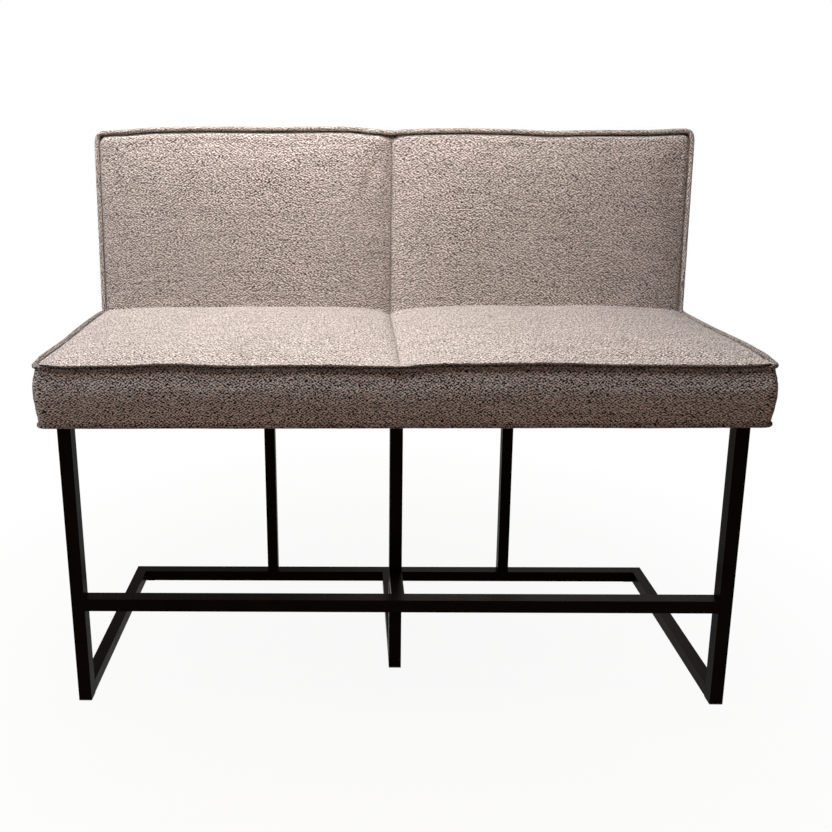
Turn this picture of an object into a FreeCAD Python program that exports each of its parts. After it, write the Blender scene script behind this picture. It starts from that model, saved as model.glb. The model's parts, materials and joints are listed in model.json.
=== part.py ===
import FreeCAD, Part
import math
import os

V = FreeCAD.Vector

# Sizes in millimetres; X runs along the bench, Y to the back, Z up
# Steel frame
frame_width = 1250.0
frame_depth = 485.0
tube = 25.0
tube_wall = 2.0
frame_top = 572.0
footrest_height = 194.0
middle_setback = 111.0
upright_spacing = 566.0

# Flat pads under the rear rail and plug feet in the leg ends
pad_thickness = 2.0
pad_side = 20.0
plug_depth = 12.0
plug_clearance = 0.2

# Mounting plates on top of the frame
plate_thickness = 5.0
front_plate_in = 35.0
front_plate_out = 15.0
front_plate_ahead = 12.0
front_plate_behind = 38.0
middle_plate_margin = 26.0
rear_plate_width = 90.0
rear_plate_short = 3.0

# Screws
screw_radius = 2.4
screw_clearance = 0.1
plate_clearance = 0.35
screw_head_radius = 4.5
screw_head_height = 3.0
screw_length = 22.0
stile_screw_length = 38.0
counterbore_clearance = 0.3
front_screw_in = 20.0
front_screw_out = 8.0
front_screw_behind = 25.0
middle_screw_margin = 14.0
rear_screw_offset = 32.0
stile_screw_low = 16.0
stile_screw_high = 48.0

# Seat woodwork
rail_thickness = 22.0
rail_height = 60.0
centre_rail_width = 44.0
block_side = 60.0
block_height = 40.0
deck_thickness = 9.0

# Seat upholstery
side_overhang = 26.0
front_overhang = 24.0
seat_to_back = 7.0
cushion_depth = 42.0
fabric = 2.0
fit_gap = 0.3
seat_pad_thickness = 7.7
border_swell = 3.0
welt_radius = 3.5
welt_corner = 12.0
bottom_welt_drop = 1.0
dust_thickness = 0.8
dust_inset = 2.0
plate_relief = 2.0
seat_station_shares = (0.0, 0.22, 0.5, 0.78, 1.0)
seat_rises = (3.0, 11.0, 14.0, 12.0, 6.0)

# Back woodwork and upholstery
recline = 3.0
back_narrowing = 4.0
back_top = 434.0
back_low = 4.0
back_border_low = 46.0
back_cushion_depth = 36.0
board_thickness = 9.0
stile_width = 44.0
stile_thickness = 22.0
top_rail_height = 44.0
top_border_swell = 5.0
edge_pad_thickness = 4.7
back_station_shares = (0.0, 0.2, 0.5, 0.8, 1.0)
back_rises = (1.0, 9.0, 13.0, 10.0, 3.0)

# Lines and levels of the steel frame
half_width = frame_width / 2
half_tube = tube / 2
leg_inner = half_width - tube
rail_y = frame_depth - tube
tube_low = pad_thickness
tube_high = pad_thickness + tube
upright_x = upright_spacing / 2

# Lines and levels of the seat
carcass_low = frame_top + plate_thickness
deck_low = carcass_low + rail_height
deck_high = deck_low + deck_thickness
seat_half = half_width + side_overhang
seat_front = -front_overhang
cover_depth = fabric + fit_gap
carcass_half = seat_half - cover_depth - seat_pad_thickness
carcass_front = seat_front + cover_depth + seat_pad_thickness
front_rail_back = carcass_front + rail_thickness
side_rail_inner = carcass_half - rail_thickness
half_centre = centre_rail_width / 2
seat_edge_height = deck_high + cushion_depth
welt_reach = welt_radius + fit_gap
border_top = seat_edge_height - welt_reach
bottom_welt_z = carcass_low - bottom_welt_drop
border_bottom = bottom_welt_z + welt_reach

# Lines and levels of the back
rear_rail_back = rail_y
rear_rail_front = rear_rail_back - rail_thickness
board_front = back_cushion_depth
back_face = rear_rail_back - board_front - board_thickness
seat_back = back_face - seat_to_back
stile_back = rear_rail_back + stile_thickness
back_half = seat_half - back_narrowing
board_half = back_half - cover_depth - edge_pad_thickness
board_top = back_top - cover_depth - edge_pad_thickness
tilt = math.radians(recline)
pivot = V(0, back_face, deck_high)

# Half the depth from the front piping to the head of the outside back
outside_back = stile_back + cover_depth - back_face
back_reach = outside_back * math.cos(tilt) + board_top * math.sin(tilt)
centring = V(0, -(seat_front - welt_radius + back_face + back_reach) / 2, 0)

shapes = {}


def block(x0, x1, y0, y1, z0, z1):
    """A box between two corners."""
    return Part.makeBox(x1 - x0, y1 - y0, z1 - z0, V(x0, y0, z0))


def square_tube(x0, x1, y0, y1, z0, z1, along):
    """A hollow square tube, open at both ends along the axis named."""
    trims = {axis: 0 if axis == along else tube_wall for axis in "xyz"}
    tx, ty, tz = trims["x"], trims["y"], trims["z"]
    bore = block(x0 + tx, x1 - tx, y0 + ty, y1 - ty, z0 + tz, z1 - tz)
    return block(x0, x1, y0, y1, z0, z1).cut(bore)


def prism_z(points, z0, z1):
    """A plan outline raised from one level to another."""
    corners = [V(x, y, z0) for x, y in points]
    face = Part.Face(Part.makePolygon(corners + corners[:1]))
    return face.extrude(V(0, 0, z1 - z0))


def prism_x(points, x0, x1):
    """A side outline in Y and Z carried along X."""
    corners = [V(x0, y, z) for y, z in points]
    face = Part.Face(Part.makePolygon(corners + corners[:1]))
    return face.extrude(V(x1 - x0, 0, 0))


def mirrored(shape):
    """The same piece on the other side of the bench."""
    return shape.mirror(V(0, 0, 0), V(1, 0, 0))


def both_sides(name, right):
    """Keep a right-hand piece and its mirror image as two nodes."""
    shapes[name + "_right"] = right
    shapes[name + "_left"] = mirrored(right)


def reclined(shape):
    """Lean a piece of the back over from upright about the deck line."""
    shape.rotate(pivot, V(1, 0, 0), -recline)
    return shape


def screw(x, y, z, direction, length):
    """A pan-head screw whose head sits under the point given."""
    head = Part.makeCylinder(screw_head_radius, screw_head_height, V(x, y, z), -direction)
    shank = Part.makeCylinder(screw_radius, length, V(x, y, z), direction)
    return head.fuse(shank).removeSplitter()


def bores(places, direction, radius, length):
    """Round holes at each place, to be cut from a piece."""
    return Part.makeCompound([Part.makeCylinder(radius, length, p, direction) for p in places])


def crown_wire(x0, x1, y, low, edge, rise):
    """A closed section at one Y: an arched top over a bottom line or arch."""
    middle = (x0 + x1) / 2
    top = Part.Arc(V(x0, y, edge), V(middle, y, edge + rise), V(x1, y, edge)).toShape()
    right = Part.makeLine(V(x1, y, edge), V(x1, y, low))
    left = Part.makeLine(V(x0, y, low), V(x0, y, edge))
    if low == edge - fabric:
        arch = Part.Arc(V(x1, y, low), V(middle, y, low + rise), V(x0, y, low)).toShape()
        return Part.Wire([top, right, arch, left])
    return Part.Wire([top, right, Part.makeLine(V(x1, y, low), V(x0, y, low)), left])


def crowned(x0, x1, y0, y1, low, edge, shares, rises):
    """A cushion form swelling between its edges, as a loft through sections."""
    wires = []
    for share, rise in zip(shares, rises):
        wires.append(crown_wire(x0, x1, y0 + share * (y1 - y0), low, edge, rise))
    return Part.makeLoft(wires, True)


def stood_up(shape):
    """Turn a form made lying down so that its top faces the front."""
    shape.rotate(V(0, 0, 0), V(1, 0, 0), 90)
    return shape


def swollen_strip(outer_low, outer_high, swell, run):
    """A strip of cloth, bowed outwards between two edges, carried along run."""
    across = outer_high - outer_low
    inward = across.cross(run)
    inward.normalize()
    middle = (outer_low + outer_high) / 2
    outer = Part.Arc(outer_low, middle - inward * swell, outer_high).toShape()
    in_low = outer_low + inward * fabric
    in_high = outer_high + inward * fabric
    inner = Part.Arc(in_high, middle + inward * (fabric - swell), in_low).toShape()
    ends = [Part.makeLine(outer_high, in_high), Part.makeLine(in_low, outer_low)]
    face = Part.Face(Part.Wire([outer, ends[0], inner, ends[1]]))
    return face.extrude(run)


def welt_cord(points):
    """Piping: a round cord along a line with rounded corners."""
    edges = []
    start = points[0]
    for here, after in zip(points[1:-1], points[2:]):
        into = (here - start).normalize()
        away = (after - here).normalize()
        a = here - into * welt_corner
        b = here + away * welt_corner
        centre = a + away * welt_corner
        bulge = centre + (here - centre).normalize() * welt_corner
        edges.append(Part.makeLine(start, a))
        edges.append(Part.Arc(a, bulge, b).toShape())
        start = b
    edges.append(Part.makeLine(start, points[-1]))
    path = Part.Wire(edges)
    along = (points[1] - points[0]).normalize()
    ring = Part.Wire(Part.makeCircle(welt_radius, points[0], along))
    return path.makePipeShell([ring], True, True)


# Front legs and the footrest between them
both_sides("front_leg", square_tube(leg_inner, half_width, 0, tube, tube_low, frame_top, "z"))
footrest_top = footrest_height + tube
shapes["footrest_bar"] = square_tube(-leg_inner, leg_inner, 0, tube, footrest_height, footrest_top, "x")

# Floor runners and the rear rail, mitred at the rear corners
runner = square_tube(leg_inner, half_width, tube, frame_depth, tube_low, tube_high, "y")
runner_offcut = ((half_width, frame_depth), (leg_inner, frame_depth), (leg_inner, rail_y))
both_sides("side_runner", runner.cut(prism_z(runner_offcut, tube_low, tube_high)))
rail = square_tube(-half_width, half_width, rail_y, frame_depth, tube_low, tube_high, "x")
rail_offcut = prism_z(((half_width, frame_depth), (half_width, rail_y), (leg_inner, rail_y)), tube_low, tube_high)
shapes["rear_floor_rail"] = rail.cut(rail_offcut).cut(mirrored(rail_offcut))

# Middle leg, its runner and the stub that ties it to the footrest
middle_back = middle_setback + tube
shapes["middle_leg"] = square_tube(-half_tube, half_tube, middle_setback, middle_back, tube_low, frame_top, "z")
shapes["middle_runner"] = square_tube(-half_tube, half_tube, middle_back, rail_y, tube_low, tube_high, "y")
shapes["footrest_stub"] = square_tube(
    -half_tube, half_tube, tube, middle_setback, footrest_height, footrest_top, "y")

# Rear uprights standing on the rear rail
upright_inner = upright_x - half_tube
upright_outer = upright_x + half_tube
both_sides("rear_upright", square_tube(
    upright_inner, upright_outer, rail_y, frame_depth, tube_high, frame_top, "z"))

# Plug feet in the leg ends and flat pads under the rear rail
plug_half = half_tube - tube_wall - plug_clearance


def plug_foot(x, y):
    """A nylon foot: a flange on the floor with a plug up inside the tube."""
    flange = block(x - half_tube, x + half_tube, y - half_tube, y + half_tube, 0, pad_thickness)
    plug_top = pad_thickness + plug_depth
    plug = block(x - plug_half, x + plug_half, y - plug_half, y + plug_half, pad_thickness, plug_top)
    return flange.fuse(plug).removeSplitter()


leg_x = half_width - half_tube
middle_leg_y = middle_setback + half_tube
shapes["plug_feet"] = Part.makeCompound(
    [plug_foot(-leg_x, half_tube), plug_foot(leg_x, half_tube), plug_foot(0, middle_leg_y)])
half_pad = pad_side / 2
pad_x = half_width - tube - half_pad
rear_pad_y = frame_depth - half_tube
pads = []
for x in (-pad_x, 0, pad_x):
    pads.append(block(x - half_pad, x + half_pad, rear_pad_y - half_pad, rear_pad_y + half_pad, 0, pad_thickness))
shapes["rail_pads"] = Part.makeCompound(pads)

# Screw places under the seat
up = V(0, 0, 1)
front_places = []
for x in (leg_inner - front_screw_in, half_width + front_screw_out):
    for y in (carcass_front + rail_thickness / 2, tube + front_screw_behind):
        front_places.append(V(x, y, frame_top))
middle_places = [
    V(0, middle_setback - middle_screw_margin, frame_top), V(0, middle_back + middle_screw_margin, frame_top)]
rear_screw_y = rear_rail_front + rail_thickness / 2
rear_places = []
for side in (-1, 1):
    rear_places.append(V(upright_x + side * rear_screw_offset, rear_screw_y, frame_top))
right_places = front_places + rear_places
left_places = [V(-p.x, p.y, p.z) for p in right_places]
all_places = right_places + left_places + middle_places
pilot_radius = screw_radius + screw_clearance
plate_bores = bores(all_places, up, screw_radius + plate_clearance, plate_thickness)
pilot_bores = bores(all_places, up, pilot_radius, screw_length + fit_gap)
shapes["plate_screws"] = Part.makeCompound([screw(p.x, p.y, p.z, up, screw_length) for p in all_places])

# Mounting plates
front_plate = block(
    leg_inner - front_plate_in, half_width + front_plate_out, -front_plate_ahead, tube + front_plate_behind,
    frame_top, carcass_low)
rear_plate = block(
    upright_x - rear_plate_width / 2, upright_x + rear_plate_width / 2, rear_rail_front,
    frame_depth - rear_plate_short, frame_top, carcass_low)
middle_plate = block(
    -half_centre, half_centre, middle_setback - middle_plate_margin, middle_back + middle_plate_margin,
    frame_top, carcass_low)
both_sides("front_plate", front_plate.cut(plate_bores))
both_sides("rear_plate", rear_plate.cut(plate_bores))
shapes["middle_plate"] = middle_plate.cut(plate_bores)

# Screws that hold the back stiles to the rear seat rail
stile_centres = (-(board_half - stile_width / 2), 0, board_half - stile_width / 2)
head_seat_y = stile_back - screw_head_height
stile_places = []
for x in stile_centres:
    for height in (stile_screw_low, stile_screw_high):
        stile_places.append(V(x, head_seat_y, carcass_low + height))
forward = V(0, -1, 0)
stile_pilots = bores(stile_places, forward, pilot_radius, stile_screw_length + fit_gap)
counterbore_radius = screw_head_radius + counterbore_clearance
stile_counterbores = bores(stile_places, -forward, counterbore_radius, screw_head_height)
shapes["stile_screws"] = Part.makeCompound(
    [screw(p.x, p.y, p.z, forward, stile_screw_length) for p in stile_places])

# Seat woodwork
shapes["seat_front_rail"] = block(
    -carcass_half, carcass_half, carcass_front, front_rail_back, carcass_low, deck_low).cut(pilot_bores)
rear_rail = block(-carcass_half, carcass_half, rear_rail_front, rear_rail_back, carcass_low, deck_low)
shapes["seat_rear_rail"] = rear_rail.cut(pilot_bores).cut(stile_pilots)
both_sides("seat_side_rail", block(
    side_rail_inner, carcass_half, front_rail_back, rear_rail_front, carcass_low, deck_low).cut(pilot_bores))
centre_rail = block(-half_centre, half_centre, front_rail_back, rear_rail_front, carcass_low, deck_low)
shapes["seat_centre_rail"] = centre_rail.cut(pilot_bores).cut(stile_pilots)
corner_block = block(
    side_rail_inner - block_side, side_rail_inner, front_rail_back, front_rail_back + block_side,
    carcass_low, carcass_low + block_height).cut(pilot_bores)
shapes["corner_blocks"] = Part.makeCompound([corner_block, mirrored(corner_block)])
shapes["seat_deck"] = block(
    -carcass_half, carcass_half, carcass_front, rear_rail_back, deck_low, deck_high)

# Seat foam, edge wadding and dust cover
panel_edge = seat_edge_height - fit_gap
foam_edge = panel_edge - fabric - fit_gap
foam_front = carcass_front
right_foam = crowned(
    fit_gap, carcass_half - fit_gap, foam_front, seat_back, deck_high, foam_edge,
    seat_station_shares, seat_rises)
both_sides("seat_foam", right_foam)
wad_front = seat_front + cover_depth
wad_side = seat_half - cover_depth
wad_low = border_bottom
wad_high = border_top
front_wad = block(-carcass_half, carcass_half, wad_front, carcass_front, wad_low, wad_high)
side_wad = block(carcass_half, wad_side, wad_front, rear_rail_back, wad_low, wad_high)
shapes["seat_wadding"] = Part.makeCompound([front_wad, side_wad, mirrored(side_wad)])
dust = block(
    dust_inset - carcass_half, carcass_half - dust_inset, carcass_front + dust_inset,
    rear_rail_back - dust_inset, carcass_low - dust_thickness, carcass_low)
for plate in (front_plate, rear_plate, mirrored(front_plate), mirrored(rear_plate), middle_plate):
    b = plate.BoundBox
    dust = dust.cut(block(
        b.XMin - plate_relief, b.XMax + plate_relief, b.YMin - plate_relief, b.YMax + plate_relief,
        carcass_low - plate_thickness, carcass_low))
shapes["dust_cover"] = dust

# Seat cover: two top panels, three borders and two runs of piping
corner_leg = math.sqrt(2) * (welt_corner * (math.sqrt(2) - 1) + welt_reach)


def welt_trim(x, y, out_x, out_y, z0, z1):
    """The corner that a panel gives up to the piping that turns round it."""
    points = ((x, y), (x - out_x * corner_leg, y), (x, y - out_y * corner_leg))
    return prism_z(points, z0, z1)


seat_panel = crowned(
    0, seat_half - welt_reach, seat_front + welt_reach, seat_back, panel_edge - fabric, panel_edge,
    seat_station_shares, seat_rises)
seat_trim = welt_trim(seat_half, seat_front, 1, -1, panel_edge - cushion_depth, panel_edge + cushion_depth)
both_sides("seat_panel", seat_panel.cut(seat_trim))
border_end = seat_half - cover_depth
shapes["seat_front_border"] = swollen_strip(
    V(-border_end, seat_front, border_bottom), V(-border_end, seat_front, border_top), border_swell,
    V(2 * border_end, 0, 0))
both_sides("seat_side_border", swollen_strip(
    V(seat_half, seat_front, border_bottom), V(seat_half, seat_front, border_top), border_swell,
    V(0, stile_back - seat_front, 0)))
top_welt_end = seat_back - welt_radius
shapes["seat_top_welt"] = welt_cord([
    V(-seat_half, top_welt_end, seat_edge_height), V(-seat_half, seat_front, seat_edge_height),
    V(seat_half, seat_front, seat_edge_height), V(seat_half, top_welt_end, seat_edge_height)])
bottom_welt_z = carcass_low - bottom_welt_drop
shapes["seat_bottom_welt"] = welt_cord([
    V(-seat_half, stile_back, bottom_welt_z), V(-seat_half, seat_front, bottom_welt_z),
    V(seat_half, seat_front, bottom_welt_z), V(seat_half, stile_back, bottom_welt_z)])

# Back woodwork: sawn stiles with the lean cut in, top rails and a board


def lean_line(start_y):
    """Where an upright line of the back meets its plumb part, and its top end."""
    line = reclined(Part.makeLine(V(0, start_y, deck_high), V(0, start_y, deck_high + board_top)))
    low, high = [vertex.Point for vertex in line.Vertexes]
    kink = low.z + (start_y - low.y) / math.tan(tilt)
    return kink, high


def leaning_outline(front_y, back_y):
    """Side outline of a piece that is plumb beside the seat and leans above it."""
    front_kink, front_high = lean_line(front_y)
    back_kink, back_high = lean_line(back_y)
    return [
        (front_y, carcass_low), (front_y, front_kink), (front_high.y, front_high.z),
        (back_high.y, back_high.z), (back_y, back_kink), (back_y, carcass_low)]


stile_profile = leaning_outline(rear_rail_back, stile_back)
half_stile = stile_width / 2
stile_names = ("back_stile_left", "back_stile_centre", "back_stile_right")
for name, x in zip(stile_names, stile_centres):
    stile = prism_x(stile_profile, x - half_stile, x + half_stile)
    shapes[name] = stile.cut(stile_pilots).cut(stile_counterbores)
board_back = rear_rail_back
top_rail = block(
    half_stile, board_half - stile_width, board_back, stile_back,
    deck_high + board_top - top_rail_height, deck_high + board_top)
shapes["back_top_rails"] = reclined(Part.makeCompound([top_rail, mirrored(top_rail)]))
shapes["back_board"] = reclined(block(
    -board_half, board_half, back_face + board_front, board_back, deck_high + back_low, deck_high + board_top))

# Back foam and edge wadding
back_foam_front = fabric + fit_gap
foam_depth = board_front - back_foam_front


def back_form(x0, x1, low, high, behind, depth):
    """A cushion form standing in the back: its edge plane, and its depth behind that."""
    lying = crowned(x0, x1, low, high, -behind - depth, -behind, back_station_shares, back_rises)
    standing = stood_up(lying)
    standing.translate(V(0, back_face, deck_high))
    return reclined(standing)


both_sides("back_foam", back_form(
    fit_gap, board_half, back_low, board_top, back_foam_front, foam_depth))
pad_out = board_half + edge_pad_thickness
pad_front = back_face + welt_reach
pad_side_strip = block(
    board_half, pad_out, pad_front, stile_back, deck_high + back_border_low, deck_high + board_top)
pad_top_strip = block(
    -pad_out, pad_out, pad_front, stile_back, deck_high + board_top, deck_high + board_top + edge_pad_thickness)
shapes["back_edge_wadding"] = reclined(
    Part.makeCompound([pad_side_strip, mirrored(pad_side_strip), pad_top_strip]))

# Back cover: two front panels, borders, piping and the outside back
panel_top = back_top - welt_reach
panel_side = back_half - welt_reach
back_panel = back_form(0, panel_side, back_low, panel_top, 0, fabric)
back_trim = stood_up(welt_trim(back_half, back_top, 1, 1, -back_cushion_depth, back_cushion_depth))
back_trim.translate(V(0, back_face, deck_high))
both_sides("back_panel", back_panel.cut(reclined(back_trim)))
side_low = deck_high + back_border_low
side_high = deck_high + board_top + edge_pad_thickness
both_sides("back_side_border", reclined(block(
    back_half - fabric, back_half, pad_front, stile_back, side_low, side_high)))
top_z = deck_high + back_top
top_border = swollen_strip(
    V(-back_half, pad_front, top_z), V(-back_half, stile_back, top_z), top_border_swell,
    V(2 * back_half, 0, 0))
shapes["back_top_border"] = reclined(top_border)
welt_low = deck_high + back_border_low
back_welt_y = back_face
shapes["back_welt"] = reclined(welt_cord([
    V(-back_half, back_welt_y, welt_low), V(-back_half, back_welt_y, top_z),
    V(back_half, back_welt_y, top_z), V(back_half, back_welt_y, welt_low)]))
outer_y = stile_back + fit_gap
outer_profile = leaning_outline(outer_y, outer_y + fabric)
shapes["back_outer_panel"] = prism_x(outer_profile, -board_half, board_half)

os.makedirs("parts", exist_ok=True)
for name, shape in shapes.items():
    shape.translate(centring)
    shape.exportStep("parts/" + name + ".step")
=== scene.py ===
import json
import math

import bpy
from mathutils import Matrix, Vector, noise


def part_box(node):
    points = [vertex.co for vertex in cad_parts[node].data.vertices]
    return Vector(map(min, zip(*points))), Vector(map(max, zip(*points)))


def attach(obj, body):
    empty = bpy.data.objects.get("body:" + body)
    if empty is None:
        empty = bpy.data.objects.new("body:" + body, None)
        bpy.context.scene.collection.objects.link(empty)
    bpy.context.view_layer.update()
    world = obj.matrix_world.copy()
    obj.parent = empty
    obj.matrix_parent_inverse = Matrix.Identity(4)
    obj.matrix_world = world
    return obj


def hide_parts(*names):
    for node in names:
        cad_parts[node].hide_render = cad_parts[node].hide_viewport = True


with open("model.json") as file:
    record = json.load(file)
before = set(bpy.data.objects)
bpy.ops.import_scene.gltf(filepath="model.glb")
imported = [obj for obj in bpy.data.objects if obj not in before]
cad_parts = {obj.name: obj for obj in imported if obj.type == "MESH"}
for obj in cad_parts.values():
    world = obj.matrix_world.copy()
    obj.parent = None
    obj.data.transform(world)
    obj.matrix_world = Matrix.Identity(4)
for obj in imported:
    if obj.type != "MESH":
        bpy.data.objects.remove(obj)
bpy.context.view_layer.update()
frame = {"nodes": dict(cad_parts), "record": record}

TURN = 2 * math.pi
QUARTER = math.pi / 2
SIDES = ((-1, "left"), (1, "right"))


def mm(value):
    """Millimetres as metres."""
    return value * 0.001


def mid_height(node):
    """Height of the middle of a CAD node."""
    low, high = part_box(node)
    return (low.z + high.z) / 2


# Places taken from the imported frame, in metres
FRONT_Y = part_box("front_leg_right")[0].y
SEAT_LOW, SEAT_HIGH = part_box("seat_side_border_right")
SEAT_FRONT = SEAT_LOW.y
SEAT_REAR = SEAT_HIGH.y
SEAT_HALF = SEAT_LOW.x + mm(2)
DECK_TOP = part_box("seat_deck")[1].z
EDGE_Z = mid_height("seat_top_welt")
BOTTOM_Z = mid_height("seat_bottom_welt")
BACK_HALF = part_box("back_side_border_right")[1].x
OUTSIDE_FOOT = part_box("back_outer_panel")[0].z

# The back: its depth, where its face stands, its height up the lean from the deck, and its lean
BACK_DEPTH = 0.067
BACK_FACE = FRONT_Y + 0.415
BACK_TOP = 0.434
LEAN = math.radians(3.0)

# Radii of the piping
SEAT_TOP_CORD = mm(4.6)
SEAT_LOW_CORD = 0.0045
BACK_CORD = mm(5.0)

# Small shape helpers, with the gap between two seeds' noise and how far steps crowd towards the edges
NOISE_LAYER = 7.31
EDGE_CROWDING = 0.72


def smooth(t):
    """A smooth step from 0 to 1."""
    t = min(max(t, 0.0), 1.0)
    return t * t * (3 - 2 * t)


def through(table, x):
    """A smooth line through listed (x, value) pairs."""
    if x <= table[0][0]:
        return table[0][1]
    for (x0, v0), (x1, v1) in zip(table, table[1:]):
        if x <= x1:
            return v0 + (v1 - v0) * smooth((x - x0) / (x1 - x0))
    return table[-1][1]


def ripple(x, y, size, seed):
    """Soft irregular waves between about -1 and 1."""
    return noise.noise(Vector((x / size, y / size, seed * NOISE_LAYER)))


def bulge(t, sharpness):
    """A pillow section: 0 at both ends, 1 over the middle."""
    return 1 - abs(2 * t - 1) ** sharpness


def roll(distance, radius):
    """Share of a rolled edge's height, steep at the seam."""
    t = min(max(distance / radius, 0.0), 1.0)
    return math.sqrt(1 - (1 - t) ** 2)


def crown(distance, reach, power):
    """Share of a cushion's crown at a distance from its seam."""
    return 1 - (1 - min(max(distance / reach, 0.0), 1.0)) ** power


def near(distance, width):
    """1 at a seam, falling to 0 over a width."""
    return math.exp(-(distance / width) ** 2)


def span(count):
    """Even steps from 0 to 1."""
    return [i / count for i in range(count + 1)]


def edged_span(count):
    """Steps from 0 to 1, closer together at both ends."""
    return [t - EDGE_CROWDING * math.sin(TURN * t) / TURN for t in span(count)]


def along(points):
    """Lengths from the first point to each point of a line."""
    lengths = [0.0]
    for p, q in zip(points, points[1:]):
        lengths.append(lengths[-1] + (q - p).length)
    return lengths


def cloth_piece(name, points, faces, weave):
    """A smooth piece of cloth, with weave coordinates in metres for each corner of each face."""
    mesh = bpy.data.meshes.new(name)
    mesh.from_pydata(points, [], faces)
    layer = mesh.uv_layers.new(name="weave")
    for corner, place in zip(layer.data, weave):
        corner.uv = place
    mesh.shade_smooth()
    piece = bpy.data.objects.new(name, mesh)
    bpy.context.scene.collection.objects.link(piece)
    return piece


def sheet_piece(name, rows, weave, thickness):
    """A cloth sheet from rows of points and rows of weave coordinates, thickened inwards."""
    wide = len(rows[0])
    faces = []
    for j in range(len(rows) - 1):
        for i in range(wide - 1):
            a = j * wide + i
            faces.append((a, a + 1, a + wide + 1, a + wide))
    flat = [place for row in weave for place in row]
    points = [p for row in rows for p in row]
    piece = cloth_piece(name, points, faces, [flat[i] for face in faces for i in face])
    solid = piece.modifiers.new("cloth thickness", "SOLIDIFY")
    solid.thickness = thickness
    solid.offset = -1
    return piece


# Rounded end of a piping cord, as (reach past the end, ring size) in shares of its radius
CORD_END = [(0.45, 0.84), (0.78, 0.52), (0.92, 0.2)]
# Sides of a cord, the unevenness of its thickness and how many lumps it has to the metre
CORD_SIDES = 12
CORD_UNEVEN = 0.05
CORD_LUMPS = 90
# A cord that starts more upright than this sets out its rings from another axis
STEEP = 0.9


def tube_piece(name, line, radius):
    """Piping: a round cord of cloth along a line of points, with rounded ends."""
    start = (line[0] - line[1]).normalized() * radius
    end = (line[-1] - line[-2]).normalized() * radius
    points = [line[0] + start * past for past, size in reversed(CORD_END)]
    points += line
    points += [line[-1] + end * past for past, size in CORD_END]
    sizes = [size for past, size in reversed(CORD_END)]
    sizes += [1 + CORD_UNEVEN * noise.noise(p * CORD_LUMPS) for p in line]
    sizes += [size for past, size in CORD_END]
    corners = []
    faces = []
    weave = []
    side_axis = None
    lengths = along(points)
    for i, (p, size) in enumerate(zip(points, sizes)):
        ahead = points[min(i + 1, len(points) - 1)]
        behind = points[max(i - 1, 0)]
        direction = (ahead - behind).normalized()
        if side_axis is None:
            helper = Vector((0, 0, 1)) if abs(direction.z) < STEEP else Vector((0, 1, 0))
            side_axis = direction.cross(helper).normalized()
        side_axis = (side_axis - direction * side_axis.dot(direction)).normalized()
        up_axis = direction.cross(side_axis)
        for k in range(CORD_SIDES):
            angle = TURN * k / CORD_SIDES
            out = side_axis * math.cos(angle) + up_axis * math.sin(angle)
            corners.append(p + out * radius * size)
    round_step = TURN * radius / CORD_SIDES
    for i in range(len(points) - 1):
        here, there = lengths[i], lengths[i + 1]
        for k in range(CORD_SIDES):
            a = i * CORD_SIDES
            b = (k + 1) % CORD_SIDES
            faces.append((a + k, a + b, a + CORD_SIDES + b, a + CORD_SIDES + k))
            low, high = round_step * k, round_step * (k + 1)
            weave += [(here, low), (here, high), (there, high), (there, low)]
    last = len(corners) - CORD_SIDES
    faces.append(tuple(range(CORD_SIDES - 1, -1, -1)))
    faces.append(tuple(range(last, last + CORD_SIDES)))
    weave += [(0.0, round_step * k) for k in range(CORD_SIDES - 1, -1, -1)]
    weave += [(lengths[-1], round_step * k) for k in range(CORD_SIDES)]
    return cloth_piece(name, corners, faces, weave)


def dress(piece, material, *nodes):
    """Tie a piece of the cover to the bench, to the CAD nodes it stands for and to its cloth."""
    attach(piece, "root")
    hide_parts(*nodes)
    piece.data.materials.append(material)


# Shader helpers
class Value:
    """A shader socket with arithmetic, so that patterns read as sums."""

    def __init__(self, tree, socket):
        self.tree = tree
        self.socket = socket

    def math(self, operation, *others):
        """One maths node on this value and any others."""
        node = self.tree.nodes.new("ShaderNodeMath")
        node.operation = operation
        for index, value in enumerate((self,) + others):
            if isinstance(value, Value):
                self.tree.links.new(value.socket, node.inputs[index])
            else:
                node.inputs[index].default_value = value
        return Value(self.tree, node.outputs[0])

    def __add__(self, other):
        return self.math("ADD", other)

    def __sub__(self, other):
        return self.math("SUBTRACT", other)

    def __mul__(self, other):
        return self.math("MULTIPLY", other)

    def __truediv__(self, other):
        return self.math("DIVIDE", other)

    def __rsub__(self, other):
        return self.math("MULTIPLY_ADD", -1.0, other)

    __radd__ = __add__
    __rmul__ = __mul__


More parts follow.
